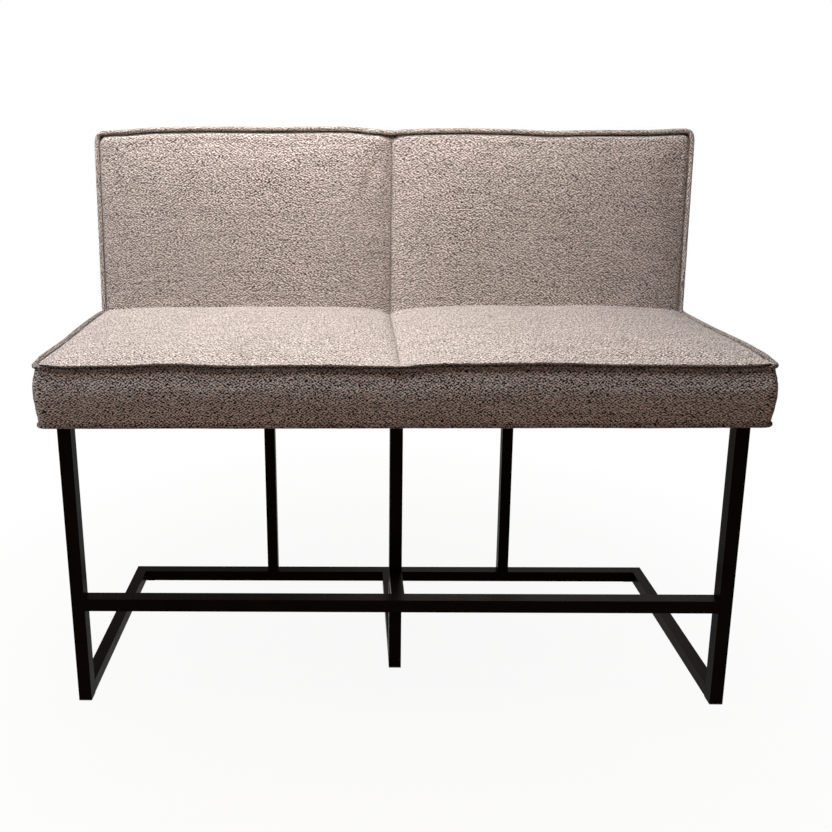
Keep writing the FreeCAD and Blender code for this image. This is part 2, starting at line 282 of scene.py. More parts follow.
class Paint:
    """The nodes of a material or a world, with short ways to add nodes and feed the shader."""

    def __init__(self, owner):
        self.owner = owner
        owner.use_nodes = True
        self.tree = owner.node_tree
        self.shader = self.tree.nodes.get("Principled BSDF")

    def node(self, kind, values, output=0, **settings):
        """Any node: input values by name or number, settings by name, and which output to use."""
        made = self.tree.nodes.new("ShaderNode" + kind)
        for key, value in settings.items():
            setattr(made, key, value)
        for key, value in values.items():
            if isinstance(value, Value):
                self.tree.links.new(value.socket, made.inputs[key])
            else:
                made.inputs[key].default_value = value
        return Value(self.tree, made.outputs[output])

    def place(self):
        """Coordinates fixed to the piece, in metres."""
        return self.node("TexCoord", {}, "Object")

    def stretched(self, place, scale):
        """Coordinates scaled by a different amount along each axis."""
        return self.node("Mapping", {"Vector": place, "Scale": scale})

    def noise(self, place, scale, detail, output=0):
        """Soft noise at a place: a grey value, or a colour from output 1."""
        return self.node("TexNoise", {"Vector": place, "Scale": scale, "Detail": detail}, output)

    def ramp(self, value, stops):
        """A colour ramp through (position, colour) stops."""
        made = self.node("ValToRGB", {0: value})
        elements = made.socket.node.color_ramp.elements
        while len(elements) < len(stops):
            elements.new(0.5)
        for element, (position, colour) in zip(elements, stops):
            element.position = position
            element.color = (*colour, 1)
        return made

    def feed(self, name, value):
        """Set a shader input, or link a value to it."""
        if isinstance(value, Value):
            self.tree.links.new(value.socket, self.shader.inputs[name])
        else:
            self.shader.inputs[name].default_value = value

    def surround_rays(self):
        """1 for the rays that show the white surround: camera, mirror and see-through rays."""
        kinds = ("Is Camera Ray", "Is Glossy Ray", "Is Transmission Ray")
        camera_ray, mirror_ray, through_ray = (self.node("LightPath", {}, kind) for kind in kinds)
        return (camera_ray + mirror_ray + through_ray).math("MINIMUM", 1.0)

    def surface(self, shader):
        """Make a shader the whole surface."""
        output = next(n for n in self.tree.nodes if n.type.startswith("OUTPUT"))
        self.tree.links.new(shader.socket, output.inputs["Surface"])

    def bump(self, height, distance, strength):
        """Relief from a height value."""
        relief = self.node("Bump", {"Height": height, "Distance": distance, "Strength": strength})
        self.feed("Normal", relief)


# Weave of the cover cloth: size of a yarn loop in metres, and how far the loops stray, in loops
LOOP_LENGTH = 0.0078
LOOP_PITCH = 0.0054
LOOP_STRAY = 1.5
# Noise scales to the metre, with those of the flecks and streaks along and across the cloth
STRAY_SCALE = 150.0
FLECK_SCALE = (255.0, 345.0, 1.0)
FIBRE_SCALE = 1500.0
STREAK_SCALE = (9.0, 120.0, 1.0)
# Share of each pattern in the cloth's relief and colour; the colour follows the relief, darkest in the
# low gaps between loops as painted shade
LOOP_SHARE = 0.46
FLECK_SHARE = 1.3
FIBRE_SHARE = 0.2
STREAK_SHARE = 0.25
MID_GREY = 0.5
YARN_HEIGHT = 0.0020


def woven_cloth(name, pale, dark):
    """Chunky upholstery cloth: a wavy lattice of yarn loops with flecks and streaks, darker in the gaps
    between loops as painted shade.
    """
    paint = Paint(bpy.data.materials.new(name))
    uv = paint.node("UVMap", {}, uv_map="weave")
    stray = paint.noise(uv, STRAY_SCALE, 1.0, 1)

    def loops(axis, size):
        """A wave for each yarn loop along one axis of the cloth."""
        even = paint.node("SeparateXYZ", {0: uv}, axis) / size
        astray = even + paint.node("SeparateXYZ", {0: stray}, axis) * LOOP_STRAY
        return (astray * TURN).math("COSINE")

    lattice = loops(0, LOOP_LENGTH) * loops(1, LOOP_PITCH)
    fleck = paint.noise(paint.stretched(uv, FLECK_SCALE), 1.0, 2.0) - MID_GREY
    fibre = paint.noise(uv, FIBRE_SCALE, 2.0) - MID_GREY
    streak = paint.noise(paint.stretched(uv, STREAK_SCALE), 1.0, 3.0) - MID_GREY
    height = lattice * LOOP_SHARE + fleck * FLECK_SHARE + fibre * FIBRE_SHARE + MID_GREY
    # The colour follows the relief: painted shade in the gaps between loops, along with the yarn's own
    # flecks and streaks
    shade = height + streak * STREAK_SHARE
    mid = tuple((p + d) / 2 for p, d in zip(pale, dark))
    paint.feed("Base Color", paint.ramp(shade, [(0.38, dark), (0.50, mid), (0.62, pale)]))
    paint.feed("Roughness", 0.95)
    paint.feed("Specular IOR Level", 0.03)
    paint.feed("Sheen Weight", 0.2)
    paint.feed("Sheen Roughness", 0.5)
    paint.bump(height, distance=YARN_HEIGHT, strength=0.7)
    return paint.owner


def powder_coat(name):
    """Satin black powder coat with a fine orange-peel and faint rubbed patches."""
    paint = Paint(bpy.data.materials.new(name))
    place = paint.place()
    peel = paint.noise(place, 900.0, 2.0)
    wear = paint.noise(place, 18.0, 4.0)
    rubbed = [(0.3, (0.0044, 0.0026, 0.0018)), (0.7, (0.0090, 0.0055, 0.0040))]
    paint.feed("Base Color", paint.ramp(wear, rubbed))
    paint.feed("Roughness", wear * 0.2 + 0.24)
    paint.feed("Specular IOR Level", 0.011)
    paint.feed("Specular Tint", (1.0, 0.76, 0.58, 1))
    paint.bump(peel, distance=0.0002, strength=0.35)
    return paint.owner


def moulded_nylon(name):
    """Matt black moulded nylon."""
    paint = Paint(bpy.data.materials.new(name))
    grain = paint.noise(paint.place(), 1400.0, 2.0)
    blacks = [(0.3, (0.012, 0.012, 0.012)), (0.7, (0.022, 0.022, 0.022))]
    paint.feed("Base Color", paint.ramp(grain, blacks))
    paint.feed("Roughness", grain * 0.2 + 0.5)
    paint.bump(grain, distance=0.0002, strength=0.4)
    return paint.owner


def zinc(name):
    """Bright zinc plating with a slight mottle."""
    paint = Paint(bpy.data.materials.new(name))
    mottle = paint.noise(paint.place(), 420.0, 3.0)
    greys = [(0.3, (0.42, 0.41, 0.37)), (0.7, (0.62, 0.61, 0.58))]
    paint.feed("Base Color", paint.ramp(mottle, greys))
    paint.feed("Metallic", 1.0)
    paint.feed("Roughness", mottle * 0.25 + 0.25)
    return paint.owner


def planed_wood(name, pale, dark, fineness):
    """Softwood or plywood with grain along the length."""
    paint = Paint(bpy.data.materials.new(name))
    lengthwise = paint.stretched(paint.place(), (3.0, fineness, fineness))
    grain = paint.noise(lengthwise, 4.0, 6.0)
    paint.feed("Base Color", paint.ramp(grain, [(0.3, dark), (0.65, pale)]))
    paint.feed("Roughness", grain * 0.25 + 0.5)
    paint.bump(grain, distance=0.0004, strength=0.4)
    return paint.owner


def nonwoven(name):
    """Black non-woven dust cloth with its pressed dot pattern."""
    paint = Paint(bpy.data.materials.new(name))
    dots = paint.node("TexVoronoi", {"Vector": paint.place(), "Scale": 380.0, "Randomness": 0.15})
    blacks = [(0.1, (0.006, 0.006, 0.006)), (0.6, (0.018, 0.018, 0.018))]
    paint.feed("Base Color", paint.ramp(dots, blacks))
    paint.feed("Roughness", 0.95)
    paint.bump(dots, distance=0.0004, strength=0.6)
    return paint.owner


# The near-black stop colours the gaps between yarn loops: painted shade
cloth = woven_cloth("flecked cover cloth", (0.95, 0.84, 0.775), (0.018, 0.013, 0.011))
# The seat piping's cloth is the cover cloth made darker: painted shade standing in for the shade on the
# low, outward-turned cords
piping_cloth_painted_shade = woven_cloth("flecked cloth darkened as painted shade", (0.52, 0.45, 0.41), (0.014, 0.010, 0.008))
slot_materials = {
    "frame_black": powder_coat("black powder coat"),
    "foot_nylon": moulded_nylon("black nylon"),
    "screw_zinc": zinc("zinc plating"),
    "timber": planed_wood("planed softwood", (0.62, 0.45, 0.27), (0.42, 0.27, 0.14), 60.0),
    "plywood": planed_wood("birch plywood", (0.66, 0.52, 0.35), (0.5, 0.36, 0.21), 40.0),
    "foam": cloth,
    "wadding": cloth,
    "cover_cloth": cloth,
    "dust_cloth": nonwoven("black dust cloth"),
}

# Rounding of the steel's edges
STEEL_ROUND = mm(2.4)
STEEL_ROUND_STEPS = 3
STEEL_ROUND_ANGLE = math.radians(40)
for part in frame["record"]["subparts"]:
    node = frame["nodes"][part["node"]]
    node.data.materials.clear()
    node.data.materials.append(slot_materials[part["material_slot"]])
    if part["material_slot"] == "frame_black":
        edge = node.modifiers.new("rolled edges", "BEVEL")
        edge.width = STEEL_ROUND
        edge.segments = STEEL_ROUND_STEPS
        edge.limit_method = "ANGLE"
        edge.angle_limit = STEEL_ROUND_ANGLE
        edge.use_clamp_overlap = True
        node.data.shade_smooth()
        normals = node.modifiers.new("flat faces", "WEIGHTED_NORMAL")
        normals.keep_sharp = True

# Heights of the seat's front piping along the bench, in mm off a straight line, read from the photograph
FRONT_WAVE = [
    (-0.651, 1.5), (-0.59, -4.5), (-0.50, -3.2), (-0.42, -0.5), (-0.29, -4.9), (-0.20, -3.0),
    (-0.03, -6.5), (0.09, -2.2), (0.26, -1.4), (0.42, -5.4), (0.58, -7.0), (0.651, -2.0)]
WAVE_REACH = mm(140)
# Rise of the seat's rear half along the bench in mm, highest at the left end, and where it comes and goes
REAR_RISE = [(-0.651, 5.0), (-0.40, 0.0), (0.40, 0.0), (0.651, -4.0)]
RISE_REACH = mm(220)
RISE_START = 0.6
RISE_END = BACK_FACE + mm(30)
RISE_FADE = mm(50)
# Small unevenness of the seat's edge
EDGE_WAVER = mm(1.2)
EDGE_WAVER_SIZE = 0.12
# Corner radius of the covers, and how far the seat's front corners are pulled down along the sides
CORNER = mm(16)
CORNER_REACH = mm(60)


def edge_rise(x, y):
    """Rise of the seat's top edge: waves at the front, nearly straight along the sides."""
    into = smooth(1 - (y - SEAT_FRONT) / WAVE_REACH)
    rear = smooth((y - SEAT_FRONT) / RISE_REACH - RISE_START) * smooth((RISE_END - y) / RISE_FADE)
    rise = mm(through(FRONT_WAVE, x)) * into + mm(through(REAR_RISE, x)) * rear
    return rise + EDGE_WAVER * ripple(y, x, EDGE_WAVER_SIZE, seed=3)


def corner_drop(y):
    """1 along the seat's front edge, easing to 0 up the sides."""
    return 1 - smooth((y - SEAT_FRONT) / CORNER_REACH)


def round_corner(side, x, depth, half):
    """Ease a point of a square outline into a rounded corner: x across, depth from the edge."""
    p = (abs(x) - (half - CORNER)) / CORNER
    q = 1 - depth / CORNER
    if p <= 0 or q <= 0:
        return x, depth
    x = side * (half - CORNER + CORNER * p * math.sqrt(1 - q * q / 2))
    return x, CORNER - CORNER * q * math.sqrt(1 - p * p / 2)


# Rolled edges of all four cushions, with the share of their height kept at an outer end
SIDE_ROLL = mm(10)
SEAM_ROLL = mm(26)
END_SHARE = 0.4
# Puckers along the seams: heights, reaches, sizes, and how soon they rise from the stitches
PUCKER = mm(0.7)
SEAM_PUCKER = mm(0.8)
SIDE_PUCKER_REACH = mm(24)
PUCKER_REACH = mm(26)
PUCKER_SIZE = 0.023
SEAM_PUCKER_SIZE = 0.021
PUCKER_START = mm(8)
# Shallow dimples over the crowns
DIMPLE = mm(1.5)
DIMPLE_SIZE = 0.13
# Steps of a cushion's grid across one place, and steps over which the simulated move fades in
CUSHION_STEPS = 118
FADE_ACROSS = 26
FADE_UP = 20
# How far a cushion's base stays inside its cover, and how full a soft piece is
BASE_AT_SEAM = mm(1)
BASE_AT_SIDE = mm(9)


def end_height(to_side, width):
    """Share of a rolled edge's height along the edge, lower towards its outer end."""
    return END_SHARE + (1 - END_SHARE) * roll(to_side, width)


def puckers(x, run, to_side, to_edge, to_seam, seed):
    """Small puckers along a cushion's seams."""
    folds = PUCKER * (near(to_side, SIDE_PUCKER_REACH) + near(to_edge, PUCKER_REACH))
    folds *= ripple(x, run, PUCKER_SIZE, seed)
    folds += SEAM_PUCKER * near(to_seam, PUCKER_REACH) * ripple(run, x, SEAM_PUCKER_SIZE, seed + 3)
    return folds * roll(to_side, PUCKER_START) * roll(to_seam, PUCKER_START) * roll(to_edge, PUCKER_START)


def base_x(side, a, wide):
    """Place across of a cushion's base: a from the seam to the outer edge."""
    return side * (BASE_AT_SEAM + a * (wide - BASE_AT_SIDE))


def both_ways(side, steps):
    """Steps from the seam outwards, turned so that both halves face the same way."""
    return steps if side > 0 else steps[::-1]


def closed_pad(name, rows, base_rows, start, tucked):
    """A closed cushion: a crowned cover grid, a matching grid where it rests, and walls between them.

    The weave starts at a length along the cloth, so that no two pieces match. Also returned are the
    cover's free points with their share of the simulated move. Rows tucked past the last seam stay put.
    """
    high = len(rows)
    wide = len(rows[0])
    count = high * wide
    points = [p for row in rows for p in row] + [p for row in base_rows for p in row]
    faces = []
    for j in range(high - 1):
        for i in range(wide - 1):
            a = j * wide + i
            faces.append((a, a + 1, a + wide + 1, a + wide))
            faces.append((count + a, count + a + wide, count + a + wide + 1, count + a + 1))
    ring = list(range(wide))
    ring += [j * wide + wide - 1 for j in range(1, high)]
    ring += [(high - 1) * wide + i for i in range(wide - 2, -1, -1)]
    ring += [j * wide for j in range(high - 2, 0, -1)]
    for a, b in zip(ring, ring[1:] + ring[:1]):
        faces.append((b, a, count + a, count + b))
    across = along(rows[high // 2])
    up = along([row[wide // 2] for row in rows])
    flat = [(start + u, v) for v in up for u in across] * 2
    piece = cloth_piece(name, points, faces, [flat[i] for face in faces for i in face])
    free = {}
    last = high - 1 - tucked
    for j in range(1, last):
        for i in range(1, wide - 1):
            inside = smooth(min(i, wide - 1 - i) / FADE_ACROSS) * smooth(min(j, last - j) / FADE_UP)
            free[j * wide + i] = inside
    return piece, free


covers = []


def sew_cushion(part, label, rows, base_rows, start, tucked=0):
    """Make one place's cushion of the seat or the back, and keep its cover for the simulation."""
    cushion, free = closed_pad(part + "_cushion_" + label, rows, base_rows, start, tucked)
    dress(cushion, cloth, part + "_panel_" + label, part + "_foam_" + label)
    covers.append((cushion, free))


def sew_border(name, rows, weave, thickness, nodes):
    """Make a padded border strip."""
    strip = sheet_piece(name, rows, weave, thickness)
    dress(strip, cloth, *nodes)


# Seat cushions: where the cover starts, its half width and depth, its grid's rows and its weave's start
COVER_FRONT = SEAT_FRONT + mm(2)
SEAT_WIDE = SEAT_HALF - mm(4)
SEAT_DEEP = BACK_FACE + mm(4) - COVER_FRONT
SEAT_ROWS = 84
SEAT_WEAVE = 2
# Height of the rolled edge and its widths
SEAT_EDGE = mm(8)
FRONT_ROLL = mm(10)
SEAT_END_ROLL = mm(22)
# Near the front the seam's valley is nearly filled, so that the edge runs on
SEAM_FILL = 0.92
SEAM_FILL_REACH = mm(30)
# Height of the crown, with its reach and sharpness from each edge
SEAT_CROWN = mm(7)
SEAT_FRONT_CROWN = (mm(150), 2.0)
SEAT_SIDE_CROWN = (mm(160), 2.1)
SEAT_SEAM_CROWN = (mm(130), 2.4)
# A further rise towards the back
REAR_CROWN = mm(6.0)
REAR_SIDE_CROWN = (mm(240), 2.2)
REAR_SEAM_CROWN = (mm(200), 2.2)
REAR_CROWN_REACH = mm(300)
REAR_CROWN_START = 0.35
# Swell of the cover over the front piping
FRONT_SWELL = mm(13)
FRONT_SWELL_DEEP = mm(13)
FRONT_SWELL_END = mm(30)
# The cover dips below the piping, and more along the sides, the seam and the front corners
COVER_TUCK = mm(3)
SIDE_DIP = mm(1)
SIDE_DIP_WIDTH = mm(14)
SEAM_DIP = mm(5.0)
SEAM_DIP_WIDTH = mm(15)
SEAM_DIP_START = mm(70)
CORNER_DIP = mm(4.0)
CORNER_DIP_WIDTH = mm(26)
CORNER_DIP_START = mm(15)
# The base lies on the deck, set back from the front
BASE_FRONT = mm(10)
BASE_LIFT = mm(0.4)


def seat_cover_point(side, a, b):
    """A point of a seat cushion's cover: a from the seam outwards, b from the front to the back."""
    to_seam = a * SEAT_WIDE
    to_side = (1 - a) * SEAT_WIDE
    to_front = b * SEAT_DEEP
    x, depth = round_corner(side, side * to_seam, to_front, SEAT_WIDE)
    y = COVER_FRONT + depth
    over_seam = max(roll(to_seam, SEAM_ROLL), SEAM_FILL * near(to_front, SEAM_FILL_REACH))
    edge = roll(to_front, FRONT_ROLL) * end_height(to_side, SEAT_END_ROLL) * over_seam
    edge *= roll(to_side, SIDE_ROLL)
    puff = crown(to_front, *SEAT_FRONT_CROWN) * crown(to_side, *SEAT_SIDE_CROWN)
    puff *= crown(to_seam, *SEAT_SEAM_CROWN)
    swell = FRONT_SWELL * math.sin(math.pi * min(to_front / FRONT_SWELL_DEEP, 1.0))
    y -= swell * roll(to_side, FRONT_SWELL_END)
    z = EDGE_Z - COVER_TUCK - SIDE_DIP * near(to_side, SIDE_DIP_WIDTH)
    z += edge_rise(x, y)
    z += SEAT_EDGE * edge
    z += SEAT_CROWN * puff
    z -= SEAM_DIP * near(to_seam, SEAM_DIP_WIDTH) * smooth(to_front / SEAM_DIP_START)
    corner = CORNER_DIP * near(to_side, CORNER_DIP_WIDTH) * corner_drop(y)
    z -= corner * smooth(to_front / CORNER_DIP_START)
    rear = REAR_CROWN * crown(to_side, *REAR_SIDE_CROWN) * crown(to_seam, *REAR_SEAM_CROWN)
    z += rear * smooth(to_front / REAR_CROWN_REACH - REAR_CROWN_START)
    z += puckers(x, y, to_side, to_front, to_seam, seed=5 + side)
    z += DIMPLE * ripple(x, y, DIMPLE_SIZE, seed=1 + side) * puff
    return Vector((x, y, z))


for side, label in SIDES:
    rows = []
    base = []
    steps = both_ways(side, edged_span(CUSHION_STEPS))
    for b in edged_span(SEAT_ROWS):
        rows.append([seat_cover_point(side, a, b) for a in steps])
        y = SEAT_FRONT + BASE_FRONT + b * (SEAT_DEEP - BASE_FRONT)
        base.append([Vector((base_x(side, a, SEAT_WIDE), y, DECK_TOP + BASE_LIFT)) for a in steps])
    sew_cushion("seat", label, rows, base, SEAT_WEAVE + side)

# Seat borders: a band round the front and sides, with the steps of its rounded corners
CORNER_STEPS = 12
REAR_TURN_STEPS = 6
# A place of a band belongs to the front where its outward direction points further forward than this
FACING = -0.7


def quarter_turn(centre, radius, start, count):
    """Places and outward directions round a quarter turn."""
    turned = []
    for i in range(count + 1):
        angle = start + QUARTER * i / count
        out = Vector((math.cos(angle), math.sin(angle), 0))
        turned.append((centre + out * radius, out))
    return turned


def band_path(half, front, rear, step, turn=0.0, tail=0.0):
    """Plan of a band from the rear left round the front to the rear right: places and outward directions.

    With a turn, both ends go round a rear corner of that radius and on inwards for the tail's length.
    """
    rear_end = []
    if turn:
        rear_end += quarter_turn(Vector((half - turn, rear - turn, 0)), turn, 0.0, REAR_TURN_STEPS)
    if tail:
        rear_end.append((Vector((half - turn - tail, rear, 0)), Vector((0, 1, 0))))
    points = []
    for place, out in reversed(rear_end):
        points.append((Vector((-place.x, place.y, 0)), Vector((-out.x, out.y, 0))))
    straight = rear - turn - (front + CORNER)
    count = max(2, round(straight / step))
    for i in range(1 if turn else 0, count):
        points.append((Vector((-half, rear - turn - straight * i / count, 0)), Vector((-1, 0, 0))))
    points += quarter_turn(Vector((-half + CORNER, front + CORNER, 0)), CORNER, math.pi, CORNER_STEPS)
    width = 2 * (half - CORNER)
    across = round(width / step)
    for i in range(1, across):
        points.append((Vector((-half + CORNER + width * i / across, front, 0)), Vector((0, -1, 0))))
    points += quarter_turn(Vector((half - CORNER, front + CORNER, 0)), CORNER, -QUARTER, CORNER_STEPS)
    for i in range(1, count if turn else count + 1):
        points.append((Vector((half, front + CORNER + straight * i / count, 0)), Vector((1, 0, 0))))
    return points + rear_end


def three_runs(path):
    """The left, front and right runs of a band, each sharing its end with the next."""
    facing = [i for i, (place, out) in enumerate(path) if out.y < FACING]
    return path[:facing[0] + 1], path[facing[0]:facing[-1] + 1], path[facing[-1]:]


# Outward swell of the border from its foot to the piping, as (height share, mm)
BORDER_SECTION = [
    (0.0, -2.0), (0.07, 0.0), (0.25, 2.9), (0.47, 5.0), (0.62, 4.6), (0.76, 2.2),
    (0.87, -1.4), (1.0, -5.5)]
# Foot and head of the border off the middles of the two pipings, and its cloth
BORDER_FOOT = mm(2.0)
BORDER_HEAD = mm(3.0)
BORDER_ROWS = 30
BORDER_STEP = mm(6)
BORDER_CLOTH = 0.108
BORDER_THICKNESS = mm(3.0)
# The seam pulls the border in at the middle, with widths in metres and in shares of its height
SEAM_PULL = mm(3.0)
SEAM_PULL_WIDTH = mm(28)
SEAM_PULL_SHARE = 0.55
# Waves over the border and puckers below the piping
BORDER_WAVE = mm(1.2)
BORDER_WAVE_SIZE = 0.09
BORDER_WAVE_TALL = 0.11
BORDER_PUCKER = mm(0.8)
BORDER_PUCKER_SHARE = 0.22
BORDER_PUCKER_SIZE = 0.026
# The waves run on from the front to the sides, where a step counts this much of one along the front
SIDE_RUN = 1.3
# The swell dies out towards the rear, where the border turns the corner
REAR_FLAT = mm(6)
REAR_EASE = mm(60)
REAR_GAP = mm(0.3)
REAR_TURN = mm(6)
REAR_TAIL = mm(3.5)
# Length of cloth between the weaves of one border and the next
BORDER_WEAVE = 4


def border_rows(points, seed):
    """Rows of a border strip over part of the band."""
    rows = []
    weave = []
    shares = edged_span(BORDER_ROWS)
    lengths = along([place for place, out in points])
    low = BOTTOM_Z + BORDER_FOOT
    for (place, out), length in zip(points, lengths):
        top = EDGE_Z - BORDER_HEAD + edge_rise(place.x, place.y)
        run = place.x + place.y * SIDE_RUN
        to_rear = smooth((SEAT_REAR - REAR_FLAT - place.y) / REAR_EASE)
        pull = SEAM_PULL * near(place.x, SEAM_PULL_WIDTH)
        row = []
        for t in shares:
            swell = mm(through(BORDER_SECTION, t))
            swell -= pull * smooth(t) * near(1 - t, SEAM_PULL_SHARE)
            swell += BORDER_WAVE * ripple(run, t * BORDER_WAVE_TALL, BORDER_WAVE_SIZE, seed) * bulge(t, 2)
            pucker = BORDER_PUCKER * near(1 - t, BORDER_PUCKER_SHARE)
            swell += pucker * ripple(run, t, BORDER_PUCKER_SIZE, seed + 2) * bulge(t, 8)
            height = low + (top - low) * t
            row.append(Vector((place.x, place.y, height)) + out * swell * to_rear)
        rows.append(row)
        weave.append([(BORDER_WEAVE * seed + length, t * BORDER_CLOTH) for t in shares])
    return rows, weave


band = band_path(SEAT_HALF, SEAT_FRONT, SEAT_REAR - REAR_GAP, BORDER_STEP, REAR_TURN, REAR_TAIL)
left_run, front_run, right_run = three_runs(band)
strips = {
    "seat_border_left": (left_run, ["seat_side_border_left"], 2),
    "seat_border_front": (front_run, ["seat_front_border", "seat_wadding"], 3),
    "seat_border_right": (right_run, ["seat_side_border_right"], 4),
}
for name, (points, nodes, seed) in strips.items():
    rows, weave = border_rows(points, seed)
    sew_border(name, rows, weave, BORDER_THICKNESS, nodes)

# Seat piping: steps along it, and the radius in which its ends turn the rear corners
CORD_STEP = mm(4)
CORD_TURN = mm(5)
# Top piping: gap to the rear, rise, pull down at the front corners, and how far it stands out or in
TOP_CORD_GAP = mm(3.5)
TOP_CORD_RISE = mm(0.5)
TOP_CORD_DROP = mm(5.5)
TOP_CORD_OUT = mm(1.0)
TOP_CORD_IN = mm(1.5)
# Bottom piping: gap to the rear, sway, drop, and how far it stands out or in
LOW_CORD_GAP = mm(3)
LOW_CORD_SWAY = mm(0.9)
LOW_CORD_SWAY_SIZE = 0.15
LOW_CORD_DROP = mm(2.0)
LOW_CORD_OUT = mm(1.5)
LOW_CORD_IN = mm(2.0)


def stand_out(out, at_sides, at_front):
    """How far a cord stands out along the sides, or in along the front."""
    return at_sides * out.x ** 2 - at_front * max(-out.y, 0.0) ** 2


line = []
for place, out in band_path(SEAT_HALF, SEAT_FRONT, SEAT_REAR - TOP_CORD_GAP, CORD_STEP, CORD_TURN):
    rise = edge_rise(place.x, place.y) + TOP_CORD_RISE - TOP_CORD_DROP * corner_drop(place.y)
    shift = out * stand_out(out, TOP_CORD_OUT, TOP_CORD_IN)
    line.append(Vector((place.x, place.y, EDGE_Z + rise)) + shift)
# Both seat pipings wear the cover cloth darkened as painted shade
dress(tube_piece("seat_piping_top", line, SEAT_TOP_CORD), piping_cloth_painted_shade, "seat_top_welt")
line = []
for place, out in band_path(SEAT_HALF, SEAT_FRONT, SEAT_REAR - LOW_CORD_GAP, CORD_STEP, CORD_TURN):
    sway = LOW_CORD_SWAY * ripple(place.x, place.y, LOW_CORD_SWAY_SIZE, seed=9) - LOW_CORD_DROP
    shift = out * stand_out(out, LOW_CORD_OUT, LOW_CORD_IN)
    line.append(Vector((place.x, place.y, BOTTOM_Z + sway)) + shift)
dress(tube_piece("seat_piping_bottom", line, SEAT_LOW_CORD), piping_cloth_painted_shade, "seat_bottom_welt")

# The back's cover is pulled on a little out of square, as the photograph shows: slope of its head
HEAD_SLOPE = 0.008


# Back: places are given as across, behind the face, and up the lean
def back_place(x, behind, up):
    """A point of the leaning back."""
    raised = up - HEAD_SLOPE * x * up / BACK_TOP
    y = BACK_FACE + behind * math.cos(LEAN) + raised * math.sin(LEAN)
    z = DECK_TOP - behind * math.sin(LEAN) + raised * math.cos(LEAN)
    return Vector((x + HEAD_SLOPE * up, y, z))


UP = back_place(0, 0, 1) - back_place(0, 0, 0)
BEHIND = back_place(0, 1, 0) - back_place(0, 0, 0)
# Rise of the back's head along the bench in mm, with the notch at the seam, read from the photograph
HEAD_BOW = [
    (-0.647, 4.5), (-0.60, 7.5), (-0.50, 13.0), (-0.40, 14.0), (-0.25, 13.0), (-0.10, 13.0), (-0.03, 7.5),
    (0.0, 5.0), (0.03, 7.0), (0.08, 8.5), (0.16, 9.5), (0.24, 7.5), (0.35, 3.5), (0.45, 5.0), (0.55, 5.0),
    (0.62, 7.5), (0.647, 8.0)]
HEAD_WAVER = mm(0.8)
HEAD_WAVER_SIZE = 0.2
HEAD_WAVER_ROW = 0.3


def back_head(x):
    """Height of the piping along the head of the back."""
    waver = HEAD_WAVER * ripple(x, HEAD_WAVER_ROW, HEAD_WAVER_SIZE, seed=12)
    return BACK_TOP + mm(through(HEAD_BOW, x)) + waver


# Back cushions: half width, foot, the rows of the grid and the weave's start
BACK_WIDE = BACK_HALF - mm(5)
BACK_LOW = mm(12)
BACK_ROWS = 80
BACK_WEAVE = 6
# Where the cover starts: behind the face, below the piping, and lower at the seam
COVER_BEHIND = mm(1.5)
HEAD_TUCK = mm(9.0)
HEAD_NOTCH = mm(6.0)
HEAD_NOTCH_WIDTH = mm(17)
# Height of the rolled edge and its widths
BACK_EDGE = mm(9)
HEAD_ROLL = mm(14)
BACK_END_ROLL = mm(24)
# Height of the crown, with its reach and sharpness from each edge
BACK_CROWN = mm(5)
BACK_HEAD_CROWN = (mm(140), 2.0)
BACK_SIDE_CROWN = (mm(150), 2.1)
BACK_SEAM_CROWN = (mm(120), 2.4)
BACK_SEAM_DIP = mm(6.0)
BACK_SEAM_DIP_WIDTH = mm(18)
# The cushion's base: how far behind the face, and how far below the head
BASE_BEHIND = mm(35.5)
BASE_HEAD = mm(20)
# The cover's seam allowance goes up behind the piping, higher at the seam
ALLOWANCE = mm(5)
ALLOWANCE_AT_SEAM = mm(8)
ALLOWANCE_SEAM_WIDTH = mm(18)
ALLOWANCE_BEHIND = mm(7)
ALLOWANCE_BASE = mm(2)


def back_cover_point(side, a, b):
    """A point of a back cushion's cover: a from the seam outwards, b from the foot to the head."""
    to_seam = a * BACK_WIDE
    to_side = (1 - a) * BACK_WIDE
    head = back_head(side * to_seam) - HEAD_TUCK - HEAD_NOTCH * near(to_seam, HEAD_NOTCH_WIDTH)
    to_head = (1 - b) * (head - BACK_LOW)
    x, depth = round_corner(side, side * to_seam, to_head, BACK_WIDE)
    up = head - depth
    edge = roll(to_head, HEAD_ROLL) * end_height(to_side, BACK_END_ROLL) * roll(to_seam, SEAM_ROLL)
    edge *= roll(to_side, SIDE_ROLL)
    puff = crown(to_head, *BACK_HEAD_CROWN) * crown(to_side, *BACK_SIDE_CROWN)
    puff *= crown(to_seam, *BACK_SEAM_CROWN)
    rise = BACK_EDGE * edge + BACK_CROWN * puff
    rise -= BACK_SEAM_DIP * near(to_seam, BACK_SEAM_DIP_WIDTH)
    rise += puckers(x, up, to_side, to_head, to_seam, seed=15 + side)
    rise += DIMPLE * ripple(x, up, DIMPLE_SIZE, seed=21 + side) * puff
    return back_place(x, COVER_BEHIND - rise, up)


for side, label in SIDES:
    rows = []
    base = []
    steps = both_ways(side, edged_span(CUSHION_STEPS))
    for b in edged_span(BACK_ROWS):
        rows.append([back_cover_point(side, a, b) for a in steps])
        up = BACK_LOW + b * (BACK_TOP - BASE_HEAD - BACK_LOW)
        base.append([back_place(base_x(side, a, BACK_WIDE), BASE_BEHIND, up) for a in steps])
    at_seam = [near(a * BACK_WIDE, ALLOWANCE_SEAM_WIDTH) for a in steps]
    lifts = [ALLOWANCE + ALLOWANCE_AT_SEAM * share for share in at_seam]
    rows.append([p + UP * lift + BEHIND * ALLOWANCE_BEHIND for p, lift in zip(rows[-1], lifts)])
    base.append([p + UP * ALLOWANCE_BASE for p in base[-1]])
    sew_cushion("back", label, rows, base, BACK_WEAVE + side, tucked=1)

